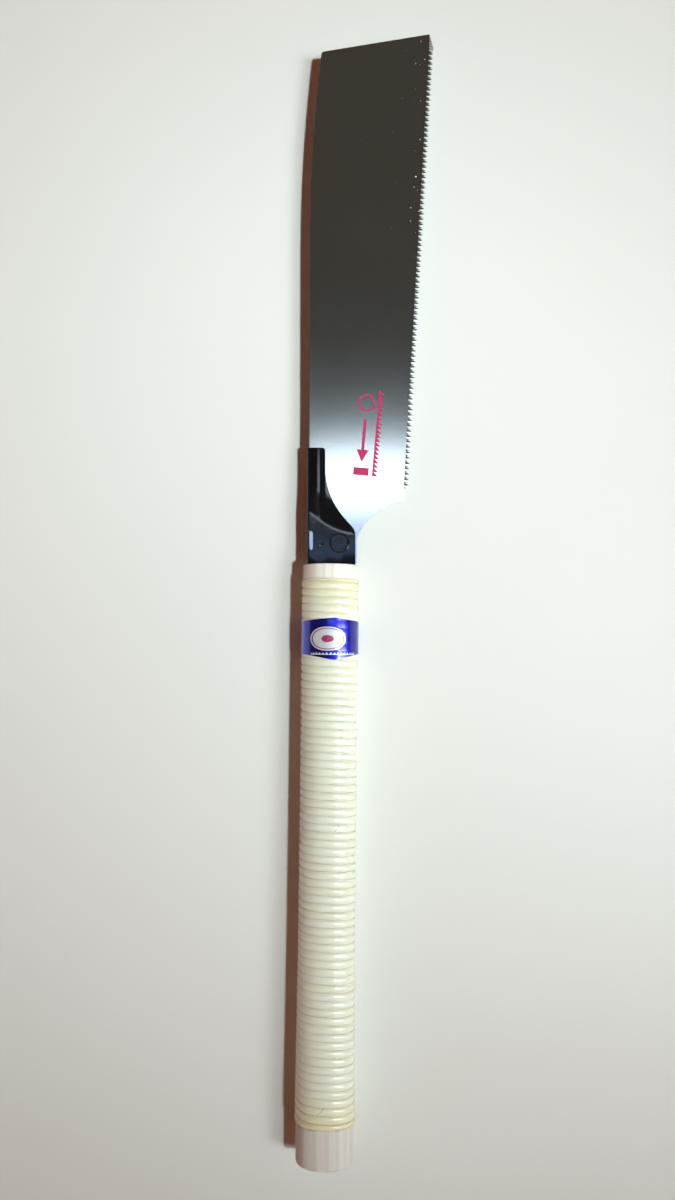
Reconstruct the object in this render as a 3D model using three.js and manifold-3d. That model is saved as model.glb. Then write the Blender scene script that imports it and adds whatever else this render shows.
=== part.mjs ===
// Kataba: a single-edged Japanese pull saw with a replaceable blade. The blade's neck hooks on a pin
// in a folded steel holder, the holder's tang sits between the two halves of a wooden handle, and one
// strip of split rattan is wound round the handle from end to end.
// Millimetres. The saw lies flat: +Y runs from the butt to the blade's tip, +X is the tooth side, +Z is
// up, and the origin is on the surface it lies on, under the middle of its bounding box.
import * as THREE from 'three';
import { mergeVertices } from 'three/addons/utils/BufferGeometryUtils.js';
import Module from 'manifold-3d';

const wasm = await Module();
wasm.setup();

const degree = Math.PI / 180;
const quarterTurn = Math.PI / 2;
const fullTurn = 2 * Math.PI;

// Blade. Its places are measured from the middle of the handle's top, before it leans.
const bladeThickness = 0.6;
const bladeLean = 0.58 * degree; // the blade stands this far off the handle's line
const spineOffset = 11.66; // handle's line to the spine
const spineStraight = 178; // the spine runs straight this far, then bends to the tooth side
const spineRadius = 1000;
const toothPitch = 1.5;
const toothCount = 167;
const toothDepth = 2.6;
const toothSet = 0.16; // each tip stands this far out of the plate, left and right in turn
const toothLean = 3.53 * degree; // the tooth line opens away from the spine towards the tip
const heelToothX = 42.6; // tooth line at the heel
const heelToothY = 42.2;
const toeBevelX = 2.4; // plain corner between the last tooth and the tip edge
const toeBevelY = 9.1;
const tipSlope = 9.62 * degree;
const tipCornerRadius = 1.6;
const heelBevelX = 1.9; // plain edge from the first tooth down to the heel's corner
const heelBevelY = 7.4;
const heelCornerRadius = 1.2;
const neckRight = 14.2; // handle's line to the neck's tooth side, which shows beside the holder
const neckFoot = 10.9; // pin down to the neck's flat foot

const hookShift = 7; // the neck's hook opens this far left of the pin, then turns across to it
const heelCurveShares = { rise: 0.395, run: 0.478 }; // how far the heel's curve keeps to its two ends

// Catch pin, riveted through the holder
const pinX = 4.79;
const pinY = 12;
const pinRadius = 2.6;
const pinHeadRadius = 5.5;
const pinHeadHeight = 0.4;
const pinSides = 32;
const pinHeadShares = [[1, 0], [1, 0.45], [0.96, 0.9], [0.91, 1], [0.86, 0.85], [0.8, 0.75], [0, 0.85]];

// Blade holder, one folded sheet, open to the tooth side
const sheetThickness = 0.95;
const foldRadius = 1.35; // outside of the fold's corners
const foldGap = 0.15; // from each face of the blade to the sheet, where the tongue closes on it
const boxHalf = 3.1; // blade's plane to the outside of the flat lower part
const crownRise = 0.6; // the tongue's crest stands this much higher than its edges
const crestShare = 0.62; // where the crest runs, from the fold across the tongue
const crownPower = 1.35; // how the crown falls from its crest, sharper than a round one
const creaseLeftY = 28.95; // where the flat lower part ends, at the fold
const creaseRightY = 15.85; // and at the open side
const creasePower = 1.85; // how fast the crease falls from the one to the other
const rampLength = 18; // from the crease up to where the tongue is level
const rampPower = 1.3; // how much steeper the ramp is at the crease than along the rest of it
const holderLeft = 12.92; // handle's line to the fold's outside
const holderRight = 13.4; // handle's line to the open side
const tongueTop = 64.65;
const tongueWidth = 9.9;
const tongueCornerRadius = 2.2;
const flareTop = 53;
const flareBottom = 22.2;
const flareFoot = 16.4;
const flareX = 2.9; // the flare's lower end, in from the open side
const flareCurveShares = { top: 0.45, footAcross: 0.5, footUp: 0.236 };
const mouthDepth = 8; // the sheet's full width goes this far into the wood
const slotFloor = 3; // this far below the handle's top the two sides start to close on each other
const windowWidth = 2.6;
const windowLength = 11;
const windowX = 10.98; // handle's line to the window's middle, on the spine side
const windowY = 13.6;
const dimpleRadius = 2.2;
const dimpleDepth = 0.2;
const dimpleX = 5.6; // handle's line to the dimple, on the spine side
const dimpleY = 11.6;
const dimpleShares = { flat: 0.55 };
const dimpleSides = 16;

// Holder's tang inside the handle
const tangTopWidth = 17;
const tangEndWidth = 10;
const tangLength = 68;

// Handle
const handleLength = 314.8;
const collarLength = 7.6; // bare wood above the winding
const buttLength = 20.9; // bare wood below it
const collarHalfWidth = 14.82;
const buttHalfWidth = 15.35;
const collarChamfer = 0.6;
const buttRounding = 2.4;
const gripTopHalfWidth = 15.66; // over the winding
const gripWaistHalfWidth = 15.33;
const gripEndHalfWidth = 16.12;
const waistShare = 0.5; // where the grip is slimmest, along its length
const gripThicknessShare = 0.765; // the oval's thickness over the winding, of its width
const bareThicknessShare = 0.75; // the same of the bare wood
const ovalPower = 2.15; // 2 is an ellipse, more is squarer
const ovalSides = 48;

// Rattan winding, one strip
const windingTurns = 70; // from the collar to the butt
const windingSteps = 12; // straight steps in a turn
const stripThickness = 0.8;
const stripShoulder = 0.45; // height of the strip's rounded edges
const stripShoulderInset = 0.25;
const mostInsetShare = 0.25; // of the strip's width, where it is pared
const stripEndWidth = 0.6; // the strip's ends are pared down to this, so that they finish level
const turnGap = 0.46;
const restDepth = 0.5; // the winding is flattened this deep where the saw lies on it

// Label, a foil band over the winding
const labelThickness = 0.25;
const labelMiddleTop = 29; // below the handle's top
const labelMiddleBottom = 51.4;
const labelSideTop = 30.9;
const labelSideBottom = 48.2;
const labelOpening = 76 * degree; // left free on the underside
const labelTurn = 8.6 * degree; // its middle is turned this far to the tooth side
const labelSteps = 36;

// Fits
const seatGap = 0.3; // holder to wood, spine to fold
const runningGap = 0.2; // pin to the neck's hook, pin to the sheet
const windingGap = 0.2; // strip to wood, label to strip
const rivetGap = 0.1; // under the pin's heads
const cutOver = 2; // cutters reach this far past what they cut

// How finely round forms are cut up
const weldDistance = 1e-5; // points closer than this are one point
const shapeSteps = 12; // in each curve of an outline
const cornerSteps = 4; // in each corner of the fold
const crownSteps = 4; // on each side of the tongue's crest
const rampSteps = 6; // from the crease up to the level tongue
const gripStations = 10; // along the handle's core
const roundingSteps = 4; // round the butt's edge

// Making solids

function solidOf(geometry) {
  const plain = geometry.clone();
  for (const name of Object.keys(plain.attributes)) {
    if (name !== 'position') plain.deleteAttribute(name);
  }
  const merged = mergeVertices(plain, weldDistance);
  const mesh = new wasm.Mesh({
    numProp: 3,
    vertProperties: new Float32Array(merged.attributes.position.array),
    triVerts: new Uint32Array(merged.index.array),
  });
  return new wasm.Manifold(mesh);
}

function geometryOf(solid) {
  const mesh = solid.getMesh();
  const geometry = new THREE.BufferGeometry();
  geometry.setAttribute('position', new THREE.BufferAttribute(mesh.vertProperties, 3));
  geometry.setIndex(new THREE.BufferAttribute(mesh.triVerts, 1));
  geometry.computeVertexNormals();
  return geometry;
}

// A flat shape given thickness about the blade's plane, or from one level to another
function plate(shape, from, to) {
  const settings = { depth: to - from, bevelEnabled: false, curveSegments: shapeSteps };
  return new THREE.ExtrudeGeometry(shape, settings).translate(0, 0, from);
}

// Rings of equally many points, each a closed loop, skinned side by side and capped at both ends
function loft(rings) {
  const count = rings[0].length;
  const positions = rings.flat().flatMap((point) => [point.x, point.y, point.z]);
  const indices = [];
  for (let ring = 0; ring + 1 < rings.length; ring += 1) {
    for (let i = 0; i < count; i += 1) {
      const next = (i + 1) % count;
      const a = ring * count + i;
      const b = ring * count + next;
      indices.push(a, b, b + count, a, b + count, a + count);
    }
  }
  const last = (rings.length - 1) * count;
  for (let i = 1; i + 1 < count; i += 1) {
    indices.push(0, i + 1, i);
    indices.push(last, last + i, last + i + 1);
  }
  const geometry = new THREE.BufferGeometry();
  geometry.setAttribute('position', new THREE.Float32BufferAttribute(positions, 3));
  geometry.setIndex(indices);
  geometry.computeVertexNormals();
  return geometry;
}

// The handle's oval

// Point on the oval of the given half width, at an angle from the tooth side
function ovalPoint(halfWidth, angle, y, raise, thicknessShare) {
  const power = 2 / ovalPower;
  const across = Math.cos(angle);
  const up = Math.sin(angle);
  const widthPart = Math.sign(across) * Math.abs(across) ** power;
  const heightPart = Math.sign(up) * Math.abs(up) ** power;
  const out = halfWidth + raise;
  return new THREE.Vector3(out * widthPart, y, (halfWidth * thicknessShare + raise) * heightPart);
}

// Point raised from the top of the winding's strip
function gripPoint(angle, y, raise) {
  return ovalPoint(gripHalfWidth(y) * facetShare, angle, y, raise, gripThicknessShare);
}

function bareRing(halfWidth, y, sides, firstAngle = 0) {
  const ring = [];
  for (let i = 0; i < sides; i += 1) {
    ring.push(ovalPoint(halfWidth, firstAngle + (i * fullTurn) / sides, y, 0, bareThicknessShare));
  }
  return ring;
}

const windingTop = -collarLength;
const windingBottom = buttLength - handleLength;
const windingLength = windingTop - windingBottom;

// Half width over the winding, slimmest at the waist
function gripHalfWidth(y) {
  const share = (windingTop - y) / windingLength;
  const end = share < waistShare ? gripTopHalfWidth : gripEndHalfWidth;
  const reach = share < waistShare ? waistShare : 1 - waistShare;
  const away = (share - waistShare) / reach;
  return gripWaistHalfWidth + (end - gripWaistHalfWidth) * away * away;
}

const stepAngle = fullTurn / windingSteps;
const facetShare = 1.016; // the winding's flats lie as far inside the oval as its corners lie outside
const windingPitch = (windingLength - 2 * stripEndWidth - turnGap) / (windingTurns - 1);
const windingSeat = stripThickness + windingGap; // wood to the top of the strip

// Blade

function spineX(y) {
  const past = Math.max(0, y - spineStraight);
  return -spineOffset + (past * past) / (2 * spineRadius);
}

const toothLineEnd = new THREE.Vector2(Math.sin(toothLean), Math.cos(toothLean))
  .multiplyScalar(toothPitch * toothCount)
  .add(new THREE.Vector2(heelToothX, heelToothY));
const tipRight = new THREE.Vector2(toothLineEnd.x - toeBevelX, toothLineEnd.y + toeBevelY);
const tipLeft = new THREE.Vector2(spineX(tipRight.y), tipRight.y);
for (let round = 0; round < shapeSteps; round += 1) {
  tipLeft.y = tipRight.y - (tipRight.x - tipLeft.x) * Math.tan(tipSlope);
  tipLeft.x = spineX(tipLeft.y);
}
const heelCorner = new THREE.Vector2(heelToothX - heelBevelX, heelToothY - heelBevelY);

// Each tooth: gullet, tip, and the shoulder of the short bevel behind the tip. The teeth cut on the
// pull, so the steep front faces the handle. Shares of the pitch along the line, the depth across it.
const toothShares = [
  { along: 0.03, out: 0 },
  { along: 0.2, out: 1 },
  { along: 0.5, out: 0.7 },
];
const grindShare = 0.6; // a tip is ground down by this much of the plate
const tipPoints = [];

function toothPoints() {
  const along = new THREE.Vector2(Math.sin(toothLean), Math.cos(toothLean));
  const outward = new THREE.Vector2(along.y, -along.x);
  const points = [];
  for (let tooth = 0; tooth < toothCount; tooth += 1) {
    for (const share of toothShares) {
      const point = new THREE.Vector2(heelToothX, heelToothY)
        .addScaledVector(along, (tooth + share.along) * toothPitch)
        .addScaledVector(outward, (share.out - 1) * toothDepth);
      points.push(point);
      if (share.out > 0) tipPoints.push({ point, side: tooth % 2 ? 1 : -1, share: share.out });
    }
  }
  return points;
}

function bladeShape() {
  const shape = new THREE.Shape();
  const spineSwing = pinX + spineOffset; // the neck's left side turns on this radius below the pin
  const footAngle = Math.asin(neckFoot / spineSwing);
  const slotHalf = pinRadius + runningGap;
  const footY = pinY - neckFoot;
  shape.moveTo(-spineOffset, pinY);
  shape.absarc(pinX, pinY, spineSwing, Math.PI, Math.PI + footAngle, false);
  shape.lineTo(pinX - hookShift - slotHalf, footY);
  shape.lineTo(pinX - hookShift - slotHalf, pinY);
  shape.absarc(pinX - hookShift, pinY, slotHalf, Math.PI, quarterTurn, true);
  shape.absarc(pinX, pinY, slotHalf, quarterTurn, -quarterTurn, true);
  shape.lineTo(pinX - hookShift + slotHalf, pinY - slotHalf);
  shape.lineTo(pinX - hookShift + slotHalf, footY);
  shape.lineTo(neckRight, footY);
  shape.lineTo(neckRight, pinY);
  const heelEndX = heelCorner.x - heelCornerRadius;
  shape.bezierCurveTo(
    neckRight, pinY + (heelCorner.y - pinY) * heelCurveShares.rise,
    heelEndX - (heelEndX - neckRight) * heelCurveShares.run, heelCorner.y,
    heelEndX, heelCorner.y,
  );
  shape.quadraticCurveTo(heelCorner.x, heelCorner.y, heelCorner.x, heelCorner.y + heelCornerRadius);
  for (const point of toothPoints()) shape.lineTo(point.x, point.y);
  shape.lineTo(toothLineEnd.x, toothLineEnd.y);
  shape.lineTo(tipRight.x, tipRight.y);
  const tipRun = tipCornerRadius * Math.cos(tipSlope);
  const tipRise = tipCornerRadius * Math.sin(tipSlope);
  shape.lineTo(tipLeft.x + tipRun, tipLeft.y + tipRise);
  const spineTop = tipLeft.y - tipCornerRadius;
  shape.quadraticCurveTo(tipLeft.x, tipLeft.y, spineX(spineTop), spineTop);
  for (let i = 1; i <= shapeSteps; i += 1) {
    const y = THREE.MathUtils.lerp(spineTop, spineStraight, i / shapeSteps);
    shape.lineTo(spineX(y), y);
  }
  return shape;
}

function bladeGeometry() {
  const geometry = plate(bladeShape(), -bladeThickness / 2, bladeThickness / 2);
  const positions = geometry.attributes.position;
  const placeKey = (x, y) => `${Math.fround(x)} ${Math.fround(y)}`;
  const byPlace = new Map(tipPoints.map((tip) => [placeKey(tip.point.x, tip.point.y), tip]));
  for (let i = 0; i < positions.count; i += 1) {
    const tip = byPlace.get(placeKey(positions.getX(i), positions.getY(i)));
    if (!tip) continue;
    // The tooth leans out of the plate, and its inner face is ground back to a point
    const ground = positions.getZ(i) * tip.side < 0 ? bladeThickness * grindShare * tip.share : 0;
    positions.setZ(i, positions.getZ(i) + tip.side * (toothSet * tip.share + ground));
  }
  return geometry;
}

// Blade holder

const tongueHalf = bladeThickness / 2 + foldGap + sheetThickness; // outside of the tongue at its edges
const crestX = -holderLeft + tongueWidth * crestShare;

function cheekShape() {
  const shape = new THREE.Shape();
  const tongueRight = -holderLeft + tongueWidth;
  const flareRight = holderRight - flareX;
  const flareHeight = flareTop - flareBottom;
  shape.moveTo(-holderLeft, -mouthDepth);
  shape.lineTo(holderRight, -mouthDepth);
  shape.lineTo(holderRight, flareFoot);
  shape.quadraticCurveTo(holderRight, (flareFoot + flareBottom) / 2, flareRight, flareBottom);
  shape.bezierCurveTo(
    flareRight - (flareRight - tongueRight) * flareCurveShares.footAcross,
    flareBottom + flareHeight * flareCurveShares.footUp,
    tongueRight, flareTop - flareHeight * flareCurveShares.top,
    tongueRight, flareTop,
  );
  shape.lineTo(tongueRight, tongueTop - tongueCornerRadius);
  shape.quadraticCurveTo(tongueRight, tongueTop, tongueRight - tongueCornerRadius, tongueTop);
  shape.lineTo(-holderLeft, tongueTop);
  return shape;
}

// The crease curves down from the fold to the open side
function creaseY(x) {
  const toOpenSide = THREE.MathUtils.clamp((holderRight - x) / (holderLeft + holderRight), 0, 1);
  return creaseRightY + (creaseLeftY - creaseRightY) * toOpenSide ** creasePower;
}

// Half thickness of the tongue's outside, highest along its crest
function crownHalf(x) {
  const sideShare = x < crestX ? crestShare : 1 - crestShare;
  const away = Math.min(1, Math.abs(x - crestX) / (tongueWidth * sideShare));
  return tongueHalf + crownRise * (1 - away ** crownPower);
}

// A ring round the folded sheet, or round the room inside it where it is drawn in by the sheet
function foldRing(placeY, halfAt, drawnIn) {
  const radius = foldRadius - drawnIn;
  const cornerX = -holderLeft + foldRadius;
  const tongueEdgeX = -holderLeft + tongueWidth;
  const across = [holderRight + cutOver];
  for (let i = 1; i < cornerSteps; i += 1) {
    across.push(THREE.MathUtils.lerp(holderRight, tongueEdgeX, i / cornerSteps));
  }
  for (let i = 0; i < crownSteps; i += 1) {
    across.push(THREE.MathUtils.lerp(tongueEdgeX, crestX, i / crownSteps));
  }
  for (let i = 0; i <= crownSteps; i += 1) {
    across.push(THREE.MathUtils.lerp(crestX, cornerX, i / crownSteps));
  }
  const upper = across.map((x) => [x, placeY(x), halfAt(x) - drawnIn]);
  const [, cornerY, cornerZ] = upper.at(-1);
  const bend = Math.min(radius, cornerZ);
  for (let i = 1; i <= cornerSteps; i += 1) {
    const angle = (quarterTurn * i) / cornerSteps;
    upper.push([cornerX - radius * Math.sin(angle), cornerY, cornerZ - bend * (1 - Math.cos(angle))]);
  }
  const lower = upper.map(([x, y, z]) => [x, y, -z]).reverse();
  return [...upper, ...lower].map(([x, y, z]) => new THREE.Vector3(x, y, z));
}

// The fold from above the tongue down to the crease, then any rings that follow it. The ramp is
// steepest at the crease and eases out on the tongue.
function foldBody(drawnIn, lowerRings) {
  const rings = [foldRing(() => tongueTop + cutOver, crownHalf, drawnIn)];
  for (let i = rampSteps; i >= 0; i -= 1) {
    const run = i / rampSteps;
    rings.push(foldRing(
      (x) => creaseY(x) + run * rampLength,
      (x) => THREE.MathUtils.lerp(crownHalf(x), boxHalf, (1 - run) ** rampPower),
      drawnIn,
    ));
  }
  return loft([...rings, ...lowerRings]);
}

function box(fromX, toX, fromY, toY, fromZ, toZ) {
  const geometry = new THREE.BoxGeometry(toX - fromX, toY - fromY, toZ - fromZ);
  return geometry.translate((fromX + toX) / 2, (fromY + toY) / 2, (fromZ + toZ) / 2);
}

// A profile of [radius, height] pairs turned about the Z axis
function turned(pairs, segments) {
  const points = pairs.map(([radius, height]) => new THREE.Vector2(radius, height));
  return new THREE.LatheGeometry(points, segments).rotateX(quarterTurn);
}

function tangShape(grow) {
  const shape = new THREE.Shape();
  const top = tangTopWidth / 2 + grow;
  const end = tangEndWidth / 2 + grow;
  shape.moveTo(-top, -mouthDepth + sheetThickness);
  shape.lineTo(-end, -tangLength - grow);
  shape.lineTo(end, -tangLength - grow);
  shape.lineTo(top, -mouthDepth + sheetThickness);
  return shape;
}

function windowShape() {
  const shape = new THREE.Shape();
  const end = windowWidth / 2;
  const reach = windowLength / 2 - end;
  shape.absarc(-windowX, windowY + reach, end, 0, Math.PI, false);
  shape.absarc(-windowX, windowY - reach, end, Math.PI, fullTurn, false);
  return shape;
}

function holderGeometry() {
  const throughZ = boxHalf + cutOver;
  const level = (y, half, drawnIn) => foldRing(() => y, () => half, drawnIn);
  const outside = foldBody(0, [
    level(-slotFloor, boxHalf, 0),
    level(-mouthDepth, sheetThickness, 0),
    level(-mouthDepth - cutOver, sheetThickness, 0),
  ]);
  const inside = foldBody(sheetThickness, [level(-slotFloor, boxHalf, sheetThickness)]);
  const tang = plate(tangShape(0), -sheetThickness, sheetThickness);
  const dimple = turned([
    [0, -dimpleDepth], [dimpleRadius * dimpleShares.flat, -dimpleDepth], [dimpleRadius, 0],
    [dimpleRadius, cutOver], [0, cutOver],
  ], dimpleSides).translate(-dimpleX, dimpleY, boxHalf);
  const holeRadius = pinRadius + runningGap;
  const pinHole = turned([
    [0, -throughZ], [holeRadius, -throughZ], [holeRadius, throughZ], [0, throughZ],
  ], pinSides).translate(pinX, pinY, 0);
  return geometryOf(solidOf(plate(cheekShape(), -throughZ, throughZ))
    .intersect(solidOf(outside))
    .subtract(solidOf(inside))
    .add(solidOf(tang))
    .subtract(solidOf(plate(windowShape(), 0, throughZ)))
    .subtract(solidOf(dimple))
    .subtract(solidOf(pinHole)));
}

// A rivet: its shank through both sides of the sheet, a ringed head on each
function pinGeometry() {
  const seat = boxHalf + rivetGap;
  const upperHead = pinHeadShares.map(([out, up]) => [out * pinHeadRadius, seat + up * pinHeadHeight]);
  const lowerHead = upperHead.map(([radius, height]) => [radius, -height]).reverse();
  return turned([...lowerHead, [pinRadius, -seat], [pinRadius, seat], ...upperHead], pinSides)
    .translate(pinX, pinY, 0);
}

// Handle halves

function handleSolid() {
  const flatAngle = stepAngle / 2; // a flat, not a corner, faces straight down
  const coreRing = (y) => Array.from({ length: windingSteps }, (_, i) => (
    gripPoint(flatAngle + i * stepAngle, y, -windingSeat)
  ));
  const core = [bareRing(collarHalfWidth - cutOver, windingTop + cutOver, windingSteps, flatAngle)];
  for (let i = 0; i <= gripStations; i += 1) {
    core.push(coreRing(windingTop - (windingLength * i) / gripStations));
  }
  core.push(bareRing(buttHalfWidth - cutOver, windingBottom - cutOver, windingSteps, flatAngle));

  const collar = [
    bareRing(collarHalfWidth - collarChamfer, 0, ovalSides),
    bareRing(collarHalfWidth, -collarChamfer, ovalSides),
    bareRing(collarHalfWidth, windingTop, ovalSides),
  ];
  const butt = [bareRing(buttHalfWidth, windingBottom, ovalSides)];
  for (let i = 0; i <= roundingSteps; i += 1) {
    const angle = (quarterTurn * i) / roundingSteps;
    const y = -handleLength + buttRounding * (1 - Math.sin(angle));
    butt.push(bareRing(buttHalfWidth - buttRounding * (1 - Math.cos(angle)), y, ovalSides));
  }

  const mouth = box(-holderLeft - seatGap, holderRight + seatGap, -mouthDepth - seatGap, cutOver,
    -boxHalf - seatGap, boxHalf + seatGap).rotateZ(bladeLean);
  const tangRoom = plate(tangShape(seatGap), -sheetThickness - seatGap, sheetThickness + seatGap)
    .rotateZ(bladeLean);
  return solidOf(loft(core))
    .add(solidOf(loft(collar)))
    .add(solidOf(loft(butt)))
    .subtract(solidOf(mouth))
    .subtract(solidOf(tangRoom));
}

// Upper half on side 1, lower half on side -1, parted along the blade's plane
function handleHalfGeometry(whole, side) {
  const out = gripEndHalfWidth + cutOver;
  const below = Math.min(0, side * out);
  const reach = box(-out, out, -handleLength - cutOver, cutOver, below, below + out);
  return geometryOf(whole.intersect(solidOf(reach)));
}

// Rattan winding

// The strip's section: across it along the handle, and up from the wood
function stripRing(turn) {
  const angle = Math.PI + stepAngle / 2 - turn * fullTurn;
  const levelTurns = windingTurns - 1;
  const upperEdge = (t) => windingTop - Math.min(t, 1) * (stripEndWidth + turnGap)
    - Math.max(0, t - 1) * windingPitch;
  const lowerEdge = (t) => windingTop - stripEndWidth - Math.min(t, levelTurns) * windingPitch
    - Math.max(0, t - levelTurns) * (stripEndWidth + turnGap);
  const top = upperEdge(turn);
  const bottom = lowerEdge(turn);
  const inset = Math.min(stripShoulderInset, (top - bottom) * mostInsetShare);
  const section = [
    [top, 0], [top - inset, stripShoulder], [(top + bottom) / 2, stripThickness],
    [bottom + inset, stripShoulder], [bottom, 0],
  ];
  return section.map(([y, height]) => gripPoint(angle, y, height - stripThickness));
}

// Least distance between points of neighbouring turns
function leastTurnGap(rings) {
  let least = Infinity;
  for (let i = 0; i < rings.length; i += 1) {
    for (let j = i + windingSteps - 1; j <= i + windingSteps + 1 && j < rings.length; j += 1) {
      for (const a of rings[i]) {
        for (const b of rings[j]) least = Math.min(least, a.distanceTo(b));
      }
    }
  }
  return least;
}

const windingRings = [];
for (let i = 0; i <= windingTurns * windingSteps; i += 1) windingRings.push(stripRing(i / windingSteps));
const restLevel = Math.min(...windingRings.flat().map((point) => point.z)) + restDepth;
for (const point of windingRings.flat()) point.z = Math.max(point.z, restLevel);
const leastGap = leastTurnGap(windingRings).toFixed(3);
console.log(`Winding: ${windingTurns} turns, least gap between turns ${leastGap} mm`);

// Label

function labelGeometry() {
  const middle = quarterTurn - labelTurn;
  const reach = Math.PI - labelOpening / 2;
  const rings = [];
  for (let i = 0; i <= labelSteps; i += 1) {
    const away = THREE.MathUtils.lerp(reach, -reach, i / labelSteps);
    const share = Math.min(1, Math.abs(away) / quarterTurn); // widest in the middle of the upper face
    const top = -THREE.MathUtils.lerp(labelMiddleTop, labelSideTop, share);
    const bottom = -THREE.MathUtils.lerp(labelMiddleBottom, labelSideBottom, share);
    rings.push([
      [top, 0], [top, labelThickness], [bottom, labelThickness], [bottom, 0],
    ].map(([y, height]) => gripPoint(middle + away, y, windingGap + height)));
  }
  return loft(rings);
}

// The whole saw

function piece(name, geometry, color, roughness, metalness) {
  const mesh = new THREE.Mesh(geometry, new THREE.MeshStandardMaterial({ color, roughness, metalness }));
  mesh.name = name;
  return mesh;
}

const wood = handleSolid();
const leaning = new THREE.Group();
leaning.rotation.z = bladeLean;
leaning.add(
  piece('blade', bladeGeometry(), 0xb6bfc3, 0.25, 1),
  piece('blade_holder', holderGeometry(), 0x1c2229, 0.4, 0.3),
  piece('catch_pin', pinGeometry(), 0x232a33, 0.35, 0.4),
);

const saw = new THREE.Group();
saw.add(
  leaning,
  piece('handle_half_upper', handleHalfGeometry(wood, 1), 0xe8e0d2, 0.6, 0),
  piece('handle_half_lower', handleHalfGeometry(wood, -1), 0xe5dccd, 0.6, 0),
  piece('rattan_wrap', loft(windingRings), 0xe8e6cc, 0.4, 0),
  piece('label_band', labelGeometry(), 0x2a2aa8, 0.25, 0.4),
);

// Stand it on its rest, with the origin under the middle of its bounding box
const bounds = new THREE.Box3().setFromObject(saw, true);
const middle = bounds.getCenter(new THREE.Vector3());
saw.position.set(-middle.x, -middle.y, -restLevel);

export default saw;
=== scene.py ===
import math

import bmesh
import bpy
from mathutils import Matrix, Vector, noise


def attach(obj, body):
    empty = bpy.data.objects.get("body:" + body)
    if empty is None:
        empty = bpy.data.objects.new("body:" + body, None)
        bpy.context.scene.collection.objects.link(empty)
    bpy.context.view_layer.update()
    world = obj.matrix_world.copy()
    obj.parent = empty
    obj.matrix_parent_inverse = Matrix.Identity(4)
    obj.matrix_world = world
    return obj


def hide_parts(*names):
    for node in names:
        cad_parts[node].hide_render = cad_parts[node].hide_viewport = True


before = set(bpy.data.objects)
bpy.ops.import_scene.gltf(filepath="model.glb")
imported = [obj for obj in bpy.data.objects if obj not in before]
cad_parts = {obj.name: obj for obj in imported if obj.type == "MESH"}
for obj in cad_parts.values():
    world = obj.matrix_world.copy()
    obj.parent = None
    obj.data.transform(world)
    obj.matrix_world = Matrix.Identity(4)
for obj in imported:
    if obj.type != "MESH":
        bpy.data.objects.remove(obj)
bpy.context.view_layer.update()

print("Frame loaded")

mm = 0.001
weld = 0.001 * mm  # points nearer to each other than this are made one
quarterTurn = math.pi / 2
fullTurn = 2 * math.pi

# Where the pieces lie: the handle's line runs through its top, and the blade leans off that line
layout = {
    "handleLineX": -19.419,
    "handleTopY": 6.464,
    "bladeLevel": 11.625,
    "bladeLean": math.radians(0.58),
}
handleOrigin = Vector((layout["handleLineX"], layout["handleTopY"], layout["bladeLevel"])) * mm
alongBlade = Matrix.Translation(handleOrigin) @ Matrix.Rotation(layout["bladeLean"], 4, "Z")


# The camera, nearly straight above the saw
cameraValues = {
    "foot": (3.7, -47.47),  # its place over the blade's plane, in the blade's own directions
    "height": 489.6,
    "tilt": math.radians(3.33),
    "lens": 27,
    "film": 36,
}


def placeCamera():
    data = bpy.data.cameras.new("camera")
    data.lens = cameraValues["lens"]
    data.sensor_width = cameraValues["film"]
    camera = bpy.data.objects.new("camera", data)
    bpy.context.scene.collection.objects.link(camera)
    camera.location = alongBlade @ (Vector((*cameraValues["foot"], cameraValues["height"])) * mm)
    camera.rotation_euler = (cameraValues["tilt"], 0, layout["bladeLean"])
    bpy.context.scene.camera = camera


placeCamera()
print("Camera placed")


# Tools for meshes and materials


def linearFromHex(code):
    channels = [int(code[i:i + 2], 16) / 255 for i in (1, 3, 5)]
    return [c / 12.92 if c <= 0.04045 else ((c + 0.055) / 1.055) ** 2.4 for c in channels] + [1]


def addNode(tree, kind, settings=None, links=None):
    node = tree.nodes.new(kind)
    for name, value in (settings or {}).items():
        if name == "stops":  # a colour ramp's places and colours
            while len(node.color_ramp.elements) < len(value):
                node.color_ramp.elements.new(1)
            for element, (place, colour) in zip(node.color_ramp.elements, value):
                element.position = place
                element.color = linearFromHex(colour)
        elif name == "stepped":
            node.color_ramp.interpolation = "CONSTANT" if value else "LINEAR"
        elif isinstance(name, str) and hasattr(node, name):
            setattr(node, name, value)
        else:
            node.inputs[name].default_value = value
    for name, socket in (links or {}).items():
        tree.links.new(socket, node.inputs[name])
    return node


def startMaterial(name, settings):
    material = bpy.data.materials.new(name)
    material.use_nodes = True
    tree = material.node_tree
    shader = tree.nodes["Principled BSDF"]
    for socket, value in settings.items():
        shader.inputs[socket].default_value = value
    return material, tree, shader


def millimetres(tree):
    place = addNode(tree, "ShaderNodeTexCoord").outputs["Object"]
    scaled = addNode(tree, "ShaderNodeVectorMath", {"operation": "SCALE", "Scale": 1 / mm}, {0: place})
    return scaled.outputs[0]


def finishPiece(bm, name, material, body, replaced=None):
    mesh = bpy.data.meshes.new(name)
    bm.to_mesh(mesh)
    bm.free()
    mesh.materials.append(material)
    piece = bpy.data.objects.new(name, mesh)
    bpy.context.scene.collection.objects.link(piece)
    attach(piece, body)
    if replaced:
        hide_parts(replaced)
    return piece


def meshOfNode(name):
    bm = bmesh.new()
    bm.from_mesh(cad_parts[name].data)
    bmesh.ops.remove_doubles(bm, verts=bm.verts, dist=weld)
    return bm


def smoothBelow(bm, angle):
    for face in bm.faces:
        face.smooth = True
    for edge in bm.edges:
        edge.smooth = edge.calc_face_angle(math.pi) < angle


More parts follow.
